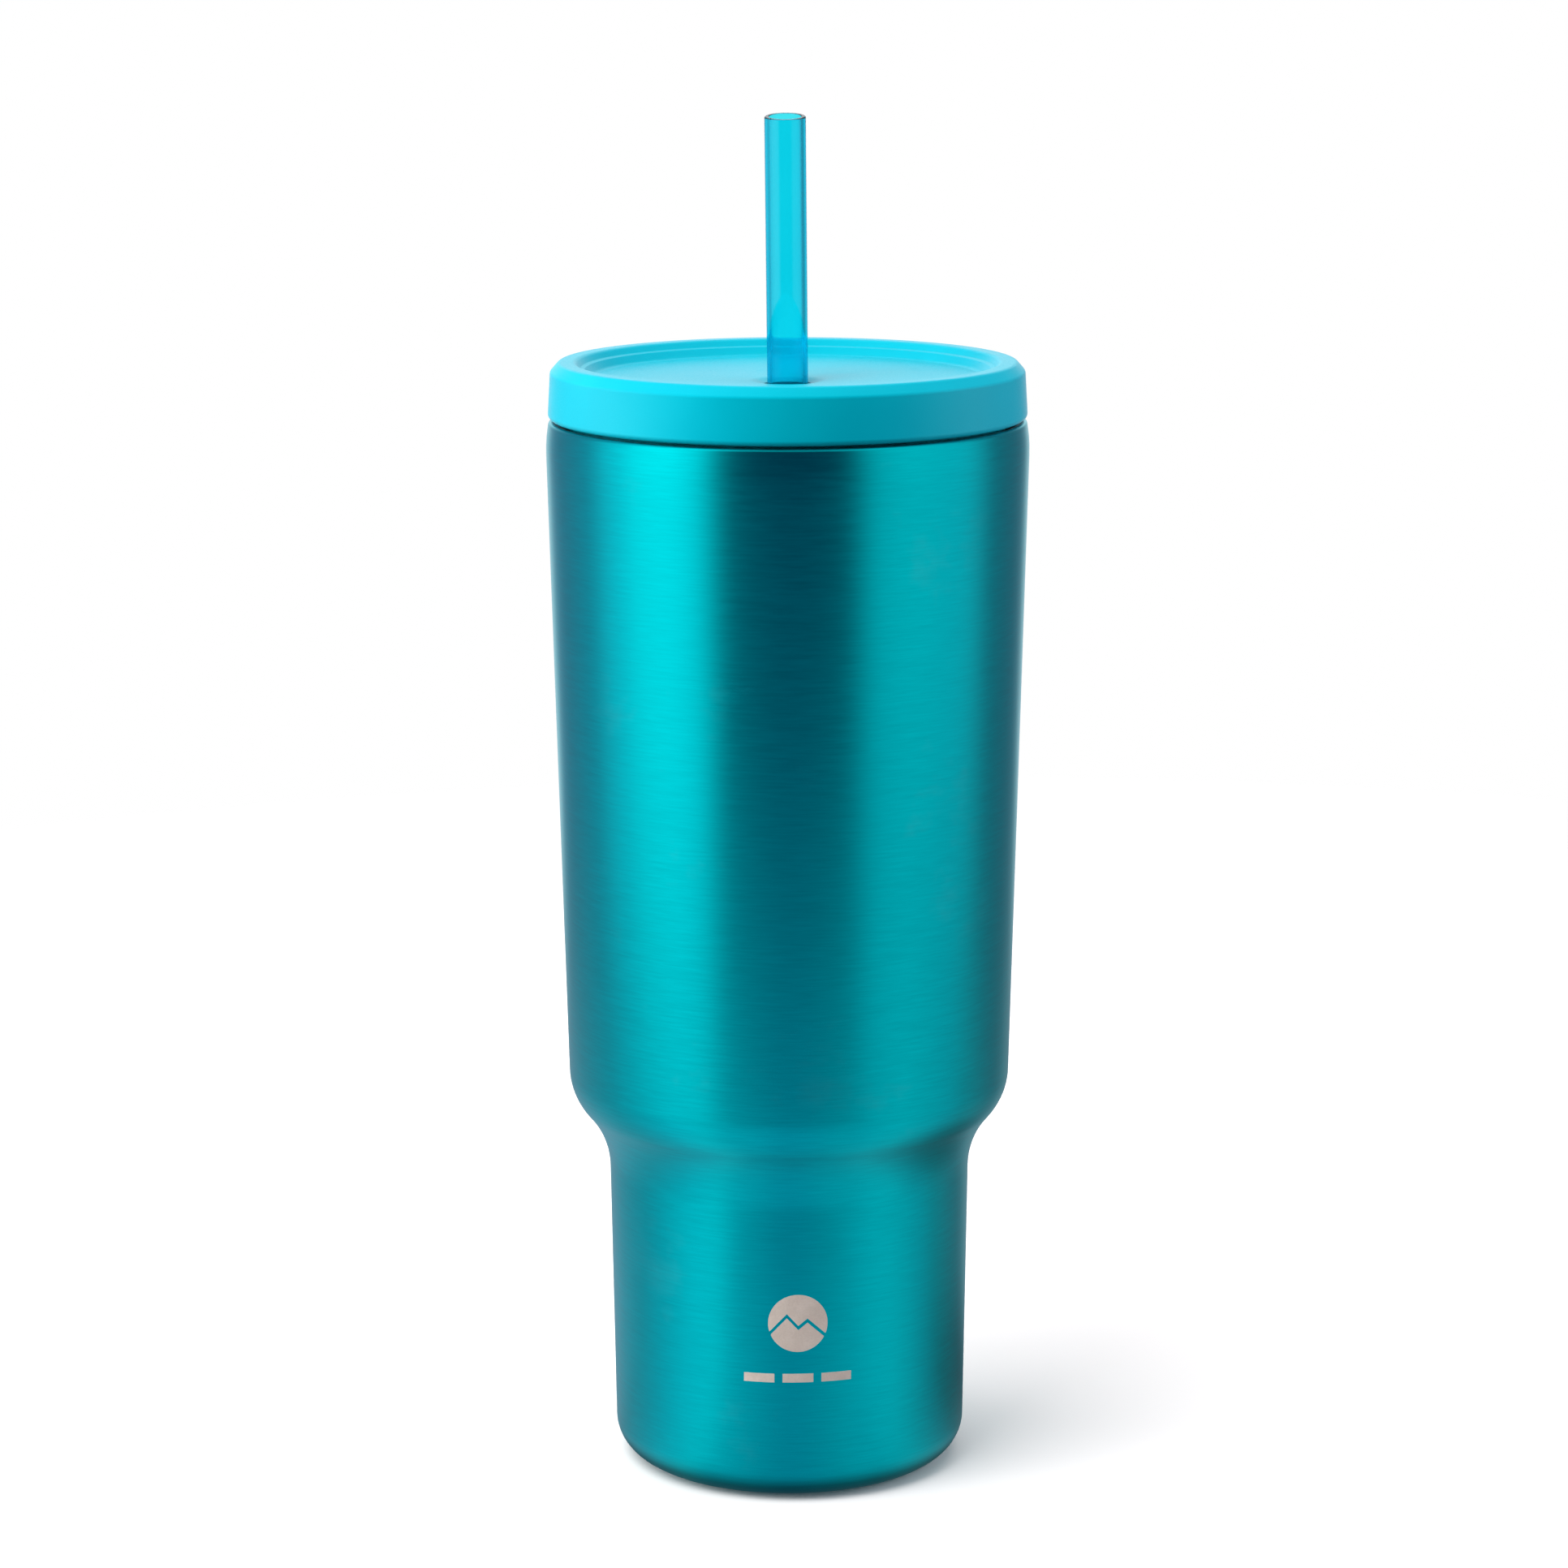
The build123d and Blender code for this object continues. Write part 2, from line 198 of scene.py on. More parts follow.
def divided(points):
    """The closed chain with its long straight runs cut into equal shorter ones, except on the axis."""
    made = []
    for here, there in zip(points, points[1:] + points[:1]):
        here, there = Vector(here), Vector(there)
        pieces = max(1, math.ceil((there - here).length / LONGEST_RUN))
        if here.x < ON_AXIS and there.x < ON_AXIS:
            pieces = 1
        made += [here.lerp(there, k / pieces) for k in range(pieces)]
    return made


# ---------------------------------------------------------------- mesh helpers
def new_object(name, vertices, faces):
    """A smooth-shaded closed mesh with outward normals and sharp edges where its faces turn strongly."""
    mesh = bpy.data.meshes.new(name)
    mesh.from_pydata(vertices, [], faces)
    work = bmesh.new()
    work.from_mesh(mesh)
    bmesh.ops.remove_doubles(work, verts=work.verts, dist=MERGE_DISTANCE * MM)
    bmesh.ops.recalc_face_normals(work, faces=work.faces)
    work.to_mesh(mesh)
    work.free()
    mesh.shade_smooth()
    mesh.set_sharp_from_angle(angle=SHARP_ANGLE)
    made = bpy.data.objects.new(name, mesh)
    bpy.context.scene.collection.objects.link(made)
    return made


def lathe(name, outline, segments=SEGMENTS):
    """A closed outline turned about Z; outline points are (radius, height) in millimetres."""
    vertices, rings = [], []
    for radius, height in divided(outline):
        count = 1 if radius < ON_AXIS else segments
        rings.append([len(vertices) + (k if count > 1 else 0) for k in range(segments)])
        for k in range(count):
            angle = 2 * math.pi * k / segments
            vertices.append(Vector((radius * math.cos(angle), radius * math.sin(angle), height)) * MM)
    faces = []
    for low, high in zip(rings, rings[1:] + rings[:1]):
        for k in range(segments):
            n = (k + 1) % segments
            corners = list(dict.fromkeys((low[k], low[n], high[n], high[k])))
            if len(corners) > 2:
                faces.append(corners)
    return new_object(name, vertices, faces)


def dress(piece, body, material, slot, *nodes):
    """Gives a piece its material, ties it to its body and lets it stand for CAD nodes; the slot is not used.
    """
    piece.data.materials.clear()
    piece.data.materials.append(material)
    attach(piece, body)
    if nodes:
        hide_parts(*nodes)
    return piece


# ---------------------------------------------------------------- material helpers
# Numbers of a Mix node's sockets when it mixes colours: the share, the two colours, and the result.
MIX_SHARE, MIX_LOW, MIX_HIGH, MIX_RESULT = 0, 6, 7, 2
# Anisotropic rotation that lays the brushing along the tangent.
BRUSH_TURN = 0.25


def new_material(name):
    """A material with an empty Principled shader; returns (material, tree, shader)."""
    made = bpy.data.materials.new(name)
    made.use_nodes = True
    tree = made.node_tree
    tree.nodes.clear()
    output = tree.nodes.new("ShaderNodeOutputMaterial")
    shader = tree.nodes.new("ShaderNodeBsdfPrincipled")
    tree.links.new(shader.outputs[0], output.inputs["Surface"])
    return made, tree, shader


def output_of(tree):
    """The output node of a material."""
    return next(node for node in tree.nodes if node.type == "OUTPUT_MATERIAL")


def add(tree, kind, sockets=None, **settings):
    """Adds a node; each socket value is either a plain value or the socket that feeds it."""
    made = tree.nodes.new(kind)
    for name, value in settings.items():
        setattr(made, name, value)
    for name, value in (sockets or {}).items():
        if isinstance(value, bpy.types.NodeSocket):
            tree.links.new(value, made.inputs[name])
        else:
            made.inputs[name].default_value = value
    return made


def noise(tree, scale, detail=4.0, roughness=0.55, shift=0.0):
    """Object-space noise, mostly between 0.3 and 0.7; scale is in cells per metre, for all axes or each."""
    if isinstance(scale, float):
        scale = (scale, scale, scale)
    where = add(tree, "ShaderNodeTexCoord").outputs["Object"]
    mapped = add(tree, "ShaderNodeMapping", {
        "Vector": where, "Location": (shift, shift, shift), "Scale": scale,
    })
    made = add(tree, "ShaderNodeTexNoise", {
        "Vector": mapped.outputs[0], "Scale": 1.0, "Detail": detail, "Roughness": roughness,
    })
    return made.outputs["Fac"]


def spread(tree, value, low, high, start=0.3, end=0.7):
    """Maps a value that runs from start to end onto low to high, and stops there."""
    return add(tree, "ShaderNodeMapRange", {
        "Value": value, "From Min": start, "From Max": end, "To Min": low, "To Max": high,
    }).outputs[0]


def blend(tree, share, low, high):
    """Two colours mixed by a share; each colour is a socket or a plain (red, green, blue)."""
    sockets = {MIX_SHARE: share}
    for place, colour in ((MIX_LOW, low), (MIX_HIGH, high)):
        sockets[place] = colour if isinstance(colour, bpy.types.NodeSocket) else (*colour, 1.0)
    return add(tree, "ShaderNodeMix", sockets, data_type="RGBA").outputs[MIX_RESULT]


def compute(tree, operation, first, second):
    """One step of arithmetic on values or sockets."""
    return add(tree, "ShaderNodeMath", {0: first, 1: second}, operation=operation).outputs[0]


def compute_vector(tree, operation, *operands):
    """One step of arithmetic on vectors; returns the node's outputs."""
    return add(tree, "ShaderNodeVectorMath", dict(enumerate(operands)), operation=operation).outputs


def total(tree, *values):
    """The sum of several values."""
    made = values[0]
    for value in values[1:]:
        made = compute(tree, "ADD", made, value)
    return made


def product(tree, *values):
    """The product of several values."""
    made = values[0]
    for value in values[1:]:
        made = compute(tree, "MULTIPLY", made, value)
    return made


def by_bearing(tree, axes, stops):
    """Colour by bearing about Z: stops are (degrees, colour), 0 towards the camera, negative to its left."""
    turn = compute(tree, "ARCTAN2", axes["X"], compute(tree, "MULTIPLY", axes["Y"], -1.0))
    place = spread(tree, turn, 0.0, 1.0, -math.pi, math.pi)
    ramp = add(tree, "ShaderNodeValToRGB", {"Fac": place})
    ramp.color_ramp.interpolation = "EASE"
    elements = ramp.color_ramp.elements
    for k, (degrees, colour) in enumerate(stops):
        share = (degrees + 180) / 360
        stop = elements[k] if k < len(elements) else elements.new(share)
        stop.position = share
        stop.color = (*colour, 1.0)
    return ramp.outputs["Color"]


def bump(tree, height, microns):
    """A bump of the given depth in microns."""
    return add(tree, "ShaderNodeBump", {
        "Height": height, "Distance": microns * MICRON, "Strength": 1.0,
    }).outputs[0]


def around_axis(tree):
    """Tangents that run round the Z axis, for turned and brushed metal."""
    return add(tree, "ShaderNodeTangent", direction_type="RADIAL", axis="Z").outputs[0]


def link(tree, shader, **sources):
    """Feeds shader sockets by name, with underscores for spaces."""
    for name, source in sources.items():
        tree.links.new(source, shader.inputs[name.replace("_", " ")])


def fix(shader, **values):
    """Sets plain values on shader sockets by name, with underscores for spaces."""
    for name, value in values.items():
        shader.inputs[name.replace("_", " ")].default_value = value


# ---------------------------------------------------------------- materials
def teal_steel():
    """Brushed steel under translucent teal lacquer: fine hoops of grain, faint clouds and handling marks."""
    made, tree, shader = new_material("teal_steel")
    grain = noise(tree, (130.0, 130.0, 2200.0), detail=4.0, roughness=0.6)
    bands = noise(tree, (40.0, 40.0, 700.0), detail=3.0, shift=3.0)
    clouds = noise(tree, (16.0, 16.0, 10.0), detail=3.0, shift=7.0)
    smudges = noise(tree, (26.0, 26.0, 38.0), detail=5.0, roughness=0.7, shift=11.0)
    marks = spread(tree, smudges, 0.0, 1.0, 0.6, 0.74)
    tone = blend(tree, spread(tree, grain, 0.0, 1.0), LACQUER_DARK, LACQUER_LIGHT)
    tone = blend(tree, spread(tree, clouds, 0.0, 0.3), tone, LACQUER_CLOUD)
    tone = blend(tree, spread(tree, marks, 0.0, 0.04, 0.0, 1.0), tone, LACQUER_MARK)
    roughness = total(
        tree, spread(tree, grain, 0.305, 0.335), spread(tree, clouds, -0.012, 0.016),
        spread(tree, marks, 0.0, 0.03, 0.0, 1.0),
    )
    link(
        tree, shader, Base_Color=tone, Roughness=roughness, Tangent=around_axis(tree),
        Normal=bump(tree, total(tree, grain, bands), 3.0),
    )
    fix(shader, Metallic=1.0, Anisotropic=0.6, Anisotropic_Rotation=BRUSH_TURN)
    return made


def rolled_steel():
    """Bare satin stainless steel with rolling marks round the axis."""
    made, tree, shader = new_material("liner_steel")
    grain = noise(tree, (18.0, 18.0, 700.0), detail=5.0, roughness=0.6)
    stains = noise(tree, 22.0, detail=4.0, shift=5.0)
    tone = blend(tree, spread(tree, grain, 0.0, 1.0), ROLLED_DARK, ROLLED_LIGHT)
    tone = blend(tree, spread(tree, stains, 0.0, 0.35), tone, ROLLED_STAIN)
    roughness = total(tree, spread(tree, grain, 0.26, 0.38), spread(tree, stains, 0.0, 0.06))
    link(
        tree, shader, Base_Color=tone, Roughness=roughness, Tangent=around_axis(tree),
        Normal=bump(tree, grain, 10.0),
    )
    fix(shader, Metallic=1.0, Anisotropic=0.5, Anisotropic_Rotation=BRUSH_TURN)
    return made


def spun_steel():
    """Steel disc with fine rings about its centre, as a lathe leaves them."""
    made, tree, shader = new_material("spun_steel")
    where = add(tree, "ShaderNodeTexCoord").outputs["Object"]
    flat = compute_vector(tree, "MULTIPLY", where, (1.0, 1.0, 0.0))["Vector"]
    radius = compute_vector(tree, "LENGTH", flat)["Value"]
    rings = add(tree, "ShaderNodeTexNoise", {
        "W": radius, "Scale": 2500.0, "Detail": 5.0, "Roughness": 0.7,
    }, noise_dimensions="1D").outputs["Fac"]
    stains = noise(tree, 60.0, shift=2.0)
    tone = blend(tree, spread(tree, rings, 0.0, 1.0), SPUN_DARK, SPUN_LIGHT)
    tone = blend(tree, spread(tree, stains, 0.0, 0.3), tone, SPUN_STAIN)
    roughness = total(tree, spread(tree, rings, 0.24, 0.38), spread(tree, stains, 0.0, 0.08))
    link(
        tree, shader, Base_Color=tone, Roughness=roughness, Tangent=around_axis(tree),
        Normal=bump(tree, rings, 10.0),
    )
    fix(shader, Metallic=1.0, Anisotropic=0.6)
    return made


def moulded(name, low, high, roughness, texture):
    """Coloured moulded plastic: a fine spark-eroded texture, slow sink marks and light scuffs."""
    made, tree, shader = new_material(name)
    fine = noise(tree, 2600.0, detail=2.0, roughness=0.6)
    slow = noise(tree, 45.0, detail=3.0, shift=4.0)
    rubbed = noise(tree, (120.0, 35.0, 60.0), detail=6.0, roughness=0.75, shift=9.0)
    scuffs = spread(tree, rubbed, 0.0, 1.0, 0.62, 0.78)
    tone = blend(tree, spread(tree, slow, 0.0, 1.0), low, high)
    gloss = total(
        tree, spread(tree, fine, roughness - 0.04, roughness + 0.05),
        spread(tree, slow, -0.02, 0.03), spread(tree, scuffs, 0.0, 0.08, 0.0, 1.0),
    )
    height = total(tree, spread(tree, fine, 0.0, texture), spread(tree, slow, 0.0, 1.0))
    link(tree, shader, Base_Color=tone, Roughness=gloss, Normal=bump(tree, height, 10.0))
    fix(shader, Specular_IOR_Level=0.3, Specular_Tint=(*MOULDED_GLINT, 1.0))
    return made


def clear_straw():
    """Clear tinted plastic, darker where the wall is seen edge on, with faint drawn lines and slight haze."""
    made, tree, shader = new_material("clear_straw")
    lines = noise(tree, (350.0, 350.0, 3.0), detail=1.0)
    haze = noise(tree, 60.0, detail=2.0, shift=6.0)
    tint = blend(tree, spread(tree, haze, 0.0, 1.0), STRAW_DARK, STRAW_LIGHT)
    link(
        tree, shader, Base_Color=tint, Normal=bump(tree, lines, 2.0),
        Roughness=total(tree, spread(tree, lines, 0.01, 0.02), spread(tree, haze, 0.0, 0.02)),
    )
    fix(shader, Transmission_Weight=1.0, IOR=1.44, Specular_Tint=(*STRAW_GLINT, 1.0))
    depth = add(tree, "ShaderNodeVolumeAbsorption", {"Color": (*STRAW_DEPTH, 1.0), "Density": 1160.0})
    tree.links.new(depth.outputs[0], output_of(tree).inputs["Volume"])
    return made


def silicone():
    """Milky rubber with a dusty bloom."""
    made, tree, shader = new_material("silicone")
    bloom = noise(tree, 160.0, detail=5.0)
    fine = noise(tree, 3000.0, detail=2.0, shift=3.0)
    tone = blend(tree, spread(tree, bloom, 0.0, 1.0), SILICONE_DARK, SILICONE_LIGHT)
    link(
        tree, shader, Base_Color=tone, Normal=bump(tree, fine, 6.0),
        Roughness=spread(tree, bloom, 0.42, 0.58),
    )
    fix(shader, Subsurface_Weight=0.25, Subsurface_Scale=0.002, Specular_IOR_Level=0.4)
    return made


def plain_metal(name, low, high, roughness, cells, microns, metallic=1.0):
    """Metal out of sight: uneven colour and gloss with a soft crumple."""
    made, tree, shader = new_material(name)
    uneven = noise(tree, cells, detail=5.0, roughness=0.6)
    fine = noise(tree, cells * 9.0, detail=3.0, shift=8.0)
    link(
        tree, shader, Base_Color=blend(tree, spread(tree, uneven, 0.0, 1.0), low, high),
        Roughness=spread(tree, fine, roughness - 0.08, roughness + 0.10),
        Normal=bump(tree, total(tree, uneven, spread(tree, fine, 0.0, 0.3)), microns),
    )
    fix(shader, Metallic=metallic)
    return made


def etched_steel():
    """Laser-etched bare steel, frosted and slightly warm."""
    made, tree, shader = new_material("etched_steel")
    fine = noise(tree, 2200.0, detail=4.0, roughness=0.7)
    worn = noise(tree, 260.0, detail=3.0, shift=5.0)
    mottle = spread(tree, total(tree, fine, worn), 0.0, 1.0, 0.75, 1.25)
    tone = blend(tree, mottle, ETCHED_DARK, ETCHED_LIGHT)
    link(
        tree, shader, Base_Color=tone, Normal=bump(tree, fine, 10.0),
        Roughness=spread(tree, worn, 0.5, 0.66),
    )
    fix(shader, Specular_IOR_Level=0.3)
    return made


TEAL = teal_steel()
LINER_STEEL = rolled_steel()
SPUN_STEEL = spun_steel()
LID_PLASTIC = moulded("lid_plastic", LID_DARK, LID_LIGHT, roughness=0.33, texture=0.6)
PLUG_PLASTIC = moulded("plug_plastic", PLUG_DARK, PLUG_LIGHT, roughness=0.42, texture=1.0)
STRAW_PLASTIC = clear_straw()
SILICONE = silicone()
ETCHED = etched_steel()
COPPER = plain_metal("copper_foil", COPPER_DARK, COPPER_LIGHT, roughness=0.24, cells=140.0, microns=120.0)
SOLDER = plain_metal("solder", SOLDER_DARK, SOLDER_LIGHT, roughness=0.40, cells=700.0, microns=50.0)
GETTER = plain_metal(
    "getter_alloy", GETTER_DARK, GETTER_LIGHT, roughness=0.75, cells=1200.0, microns=80.0, metallic=0.3,
)


# ---------------------------------------------------------------- the tumbler
BASE_WET, LOW_WET, HIGH_WET, SHOULDER_WET = offset(SKIN, LINER_INSET)[1:5]
SEAM_POINT = point_at(LINER_SEAM, BASE_WET, LOW_WET)
LINER = [
    SEAM_POINT, LOW_WET, HIGH_WET, point_at(FLARE_START, HIGH_WET, SHOULDER_WET),
    (FLARE_TOP_RADIUS, LIP_CREST[1]), LIP_CREST,
]
LINER_ROUNDS = [SKIN_ROUNDS[1] - LINER_INSET, SKIN_ROUNDS[2] - LINER_INSET, -FLARE_ROUND, -LIP_ROUND]
LINER_BOTTOM = [(0.0, LINER_FLOOR), point_at(LINER_FLOOR, BASE_WET, LOW_WET), SEAM_POINT]

skin = lathe("tumbler_skin", sheet_outline(SKIN, SKIN_ROUNDS, 0.0, SHEET))
dress(skin, "tumbler", TEAL, "teal_steel", "outer_shell")

cap = lathe("foot_cap", sheet_outline(CAP, CAP_ROUNDS, 0.0, CAP_THICKNESS))
dress(cap, "tumbler", TEAL, "teal_steel", "outer_base")

liner = lathe("liner_wall", sheet_outline(LINER, LINER_ROUNDS, -SHEET, 0.0))
dress(liner, "tumbler", LINER_STEEL, "bare_steel", "inner_liner")

liner_bottom = lathe("liner_bottom", sheet_outline(LINER_BOTTOM, [LINER_FLOOR_ROUND], -SHEET, 0.0))
dress(liner_bottom, "tumbler", LINER_STEEL, "bare_steel", "liner_base")

cover_outline = [(0.0, COVER_TOP), (0.0, COVER_BOTTOM)]
for groove in COVER_GROOVES:
    inside, outside = groove - GROOVE_HALF_WIDTH, groove + GROOVE_HALF_WIDTH
    cover_outline += [
        (inside, COVER_BOTTOM), (inside, COVER_BOTTOM + GROOVE_DEPTH),
        (outside, COVER_BOTTOM + GROOVE_DEPTH), (outside, COVER_BOTTOM),
    ]
cover_outline += [
    (COVER_RADIUS - GROOVE_DEPTH, COVER_BOTTOM), (COVER_RADIUS, COVER_BOTTOM + GROOVE_DEPTH),
    (COVER_RADIUS, COVER_TOP),
]
cover = lathe("base_disc", cover_outline)
dress(cover, "tumbler", SPUN_STEEL, "bare_steel", "base_cover")

# Out of sight behind the skin and the base cover: these keep their CAD meshes.
hidden_nodes = {
    "vacuum_seal_bead": SOLDER, "getter_pill": GETTER, "getter_clip": LINER_STEEL, "copper_foil": COPPER,
}
for name, material in hidden_nodes.items():
    node = frame["nodes"][name]
    node.data.materials.clear()
    node.data.materials.append(material)

# ---------------------------------------------------------------- the lid
lid_outline = rounded(LID_TOP, LID_TOP_ROUNDS) + rounded(LID_UNDER, LID_UNDER_ROUNDS)[:-1]
lid = lathe("lid_top", lid_outline)
dress(lid, "lid", LID_PLASTIC, "lid_plastic", "lid_shell")

plug = lathe("lid_plug", rounded(PLUG, PLUG_ROUNDS)[:-1])
dress(plug, "lid", PLUG_PLASTIC, "plug_plastic", "lid_insert")

seal_corners = [(SEAL_INNER, SEAL_LOW), (SEAL_BAND, SEAL_LOW)]
seal_rounds = [SEAL_ROUND]
for height in FIN_HEIGHTS:
    tip = height + FIN_SWEEP
    reach = point_at(tip, HIGH_WET, SHOULDER_WET)[0] - FIN_GAP
    seal_corners += [
        (SEAL_BAND, height - FIN_ROOT / 2), (reach, tip - FIN_TIP / 2),
        (reach, tip + FIN_TIP / 2), (SEAL_BAND, height + FIN_ROOT / 2),
    ]
    seal_rounds += [FIN_ROUND] * 4
seal_corners += [(SEAL_BAND, SEAL_HIGH), (SEAL_INNER, SEAL_HIGH)]
seal_rounds += [SEAL_ROUND]
seal = lathe("seal_ring", rounded(seal_corners, seal_rounds))
dress(seal, "lid", SILICONE, "silicone", "lid_seal")

# ---------------------------------------------------------------- the straw
bore = next(mount for mount in frame["record"]["mounts"] if mount["name"] == "straw_bore")
inner_radius = bore["dims"]["r_mm"]
half_length = bore["dims"]["length_mm"] / 2
tube = [
    (inner_radius, -half_length), (STRAW_RADIUS, -half_length), (STRAW_RADIUS, half_length),
    (inner_radius, half_length), (inner_radius, -half_length),
]
straw = lathe("straw_tube", rounded(tube, [STRAW_END_ROUND] * 3)[:-1], STRAW_SEGMENTS)
lean = Vector((0.0, 0.0, 1.0)).rotation_difference(Vector(bore["axis"]))
straw.matrix_world = Matrix.Translation(bore["pos_m"]) @ lean.to_matrix().to_4x4()
dress(straw, "straw", STRAW_PLASTIC, "straw_plastic", "straw")

# ---------------------------------------------------------------- the etched mark
# A plain disc cut by a ridge line, over three dashes, in millimetres round the wall and up it. The mark is
# turned a little off the front; its plates stand proud by MARK_LIFT and reach MARK_SINK into the steel. The
# disc's columns stop at DISC_END of its radius, where they still have a height.
MARK_TURN = math.radians(2.6)
MARK_LIFT = 0.02
MARK_SINK = 0.05
MARK_STEP = 0.4
DISC_CENTRE = 39.6
DISC_RADIUS = 6.2
DISC_END = 0.998
DISC_STEPS = 56
RIDGE = [(-7.0, -3.4), (-2.3, 1.6), (0.1, -1.0), (2.0, 0.6), (7.0, -3.9)]
RIDGE_GAP = 0.9
DASH_CENTRE = 27.7
DASH_WIDTH = 6.4
DASH_HEIGHT = 1.9
DASH_PITCH = 8.1


def on_wall(across, height, lift):
    """A point on the narrow part of the wall, in metres, from millimetres round, height and how far proud."""
    radius = point_at(height, BASE_CORNER, STEP_LOW)[0]
    angle = across / radius + MARK_TURN
    proud = radius + lift
    return Vector((proud * math.sin(angle), -proud * math.cos(angle), height)) * MM


def plate(name, columns):
    """A thin plate that follows the wall; each column is (across, bottom height, top height).

    A column has four vertices: its bottom and top in the steel, then its bottom and top proud of it.
    """
    vertices = []
    for across, bottom, top in columns:
        for lift in (-MARK_SINK, MARK_LIFT):
            vertices += [on_wall(across, bottom, lift), on_wall(across, top, lift)]
    last = len(vertices) - 4
    faces = [(0, 1, 3, 2)]
    for a in range(0, last, 4):
        b = a + 4
        faces += [
            (a + 2, a + 3, b + 3, b + 2), (a, b, b + 1, a + 1),
            (a, a + 2, b + 2, b), (a + 1, b + 1, b + 3, a + 3),
        ]
    faces.append((last, last + 2, last + 3, last + 1))
    return new_object(name, vertices, faces)


def ridge_height(across):
    """Height of the ridge line above the disc's centre."""
    for low, high in zip(RIDGE, RIDGE[1:]):
        if across <= high[0]:
            share = (across - low[0]) / (high[0] - low[0])
            return low[1] + share * (high[1] - low[1])
    return RIDGE[-1][1]


places = [-DISC_END * DISC_RADIUS * math.cos(math.pi * k / DISC_STEPS) for k in range(DISC_STEPS + 1)]
places = sorted(places + [across for across, _ in RIDGE[1:-1]])
sky_columns, hill_columns = [], []
for across in places:
    reach = math.sqrt(DISC_RADIUS**2 - across**2)
    ridge = ridge_height(across)
    if ridge + RIDGE_GAP / 2 < reach:
        bottom = max(ridge + RIDGE_GAP / 2, -reach)
        sky_columns.append((across, DISC_CENTRE + bottom, DISC_CENTRE + reach))
    if ridge - RIDGE_GAP / 2 > -reach:
        top = min(ridge - RIDGE_GAP / 2, reach)
        hill_columns.append((across, DISC_CENTRE - reach, DISC_CENTRE + top))
marks = [plate("mark_sky", sky_columns), plate("mark_hills", hill_columns)]
dash_steps = math.ceil(DASH_WIDTH / MARK_STEP)
for number, side in enumerate((-1, 0, 1), start=1):
    columns = []
    for step in range(dash_steps + 1):
        across = side * DASH_PITCH + DASH_WIDTH * (step / dash_steps - 0.5)
        columns.append((across, DASH_CENTRE - DASH_HEIGHT / 2, DASH_CENTRE + DASH_HEIGHT / 2))
    marks.append(plate(f"mark_dash_{number}", columns))
for mark in marks:
    dress(mark, "tumbler", ETCHED, "bare_steel")


# ---------------------------------------------------------------- floor (metres)
# The sweep is solid to FLOOR_SOLID from its own centre and has faded out at FLOOR_END, inside its FLOOR_EDGE.
FLOOR_CENTRE = (0.05, 0.12)
FLOOR_SOLID = 0.30
FLOOR_END = 0.62
FLOOR_EDGE = 1.00
# A little light of its own keeps the floor white.
FLOOR_LIFT = 0.02
# What rays other than the camera's see of the floor, by bearing from the object's foot. It dims to
# GLOW_SHRUNK of itself between GLOW_NEAR and GLOW_FAR from the foot, and turns clear over GLOW_FADE.
FLOOR_GLOW = [
    (-180, (0.65, 0.71, 0.83)), (-150, (0.41, 0.46, 0.56)), (-112, (0.41, 0.45, 0.54)),
    (-98, (0.38, 0.42, 0.50)), (-83, (0.43, 0.48, 0.57)), (-70, (0.53, 0.58, 0.68)),
    (-57, (0.69, 0.73, 0.83)), (-45, (0.75, 0.81, 0.88)), (-28, (0.53, 0.58, 0.68)),
    (0, (0.37, 0.43, 0.55)), (30, (0.46, 0.53, 0.61)), (58, (0.61, 0.66, 0.72)),
    (72, (0.53, 0.57, 0.63)), (84, (0.41, 0.46, 0.53)), (98, (0.32, 0.36, 0.40)),
    (130, (0.22, 0.24, 0.28)), (150, (0.36, 0.40, 0.45)), (180, (0.65, 0.71, 0.83)),
]
GLOW_NEAR = 0.08
GLOW_FAR = 0.60
GLOW_SHRUNK = 0.45
GLOW_FADE = (0.38, 0.70)
# The floor is darker close to the foot and darkest right under its rounded edge, and matt surfaces get only a
# share of the glow.
FOOT_SHADE = 0.75
FOOT_EDGE = (0.035, 0.14)
CONTACT_SHADE = 0.2
CONTACT_EDGE = (0.0355, 0.042)
GLOW_MATT_SHARE = 0.2
# The object's own shadow beside it, which leaves SHADOW_SHARE of that glow.
SHADOW_PLACE = (0.085, 0.030)
SHADOW_CORE = 0.02
SHADOW_EDGE = 0.08
SHADOW_SHARE = 0.42


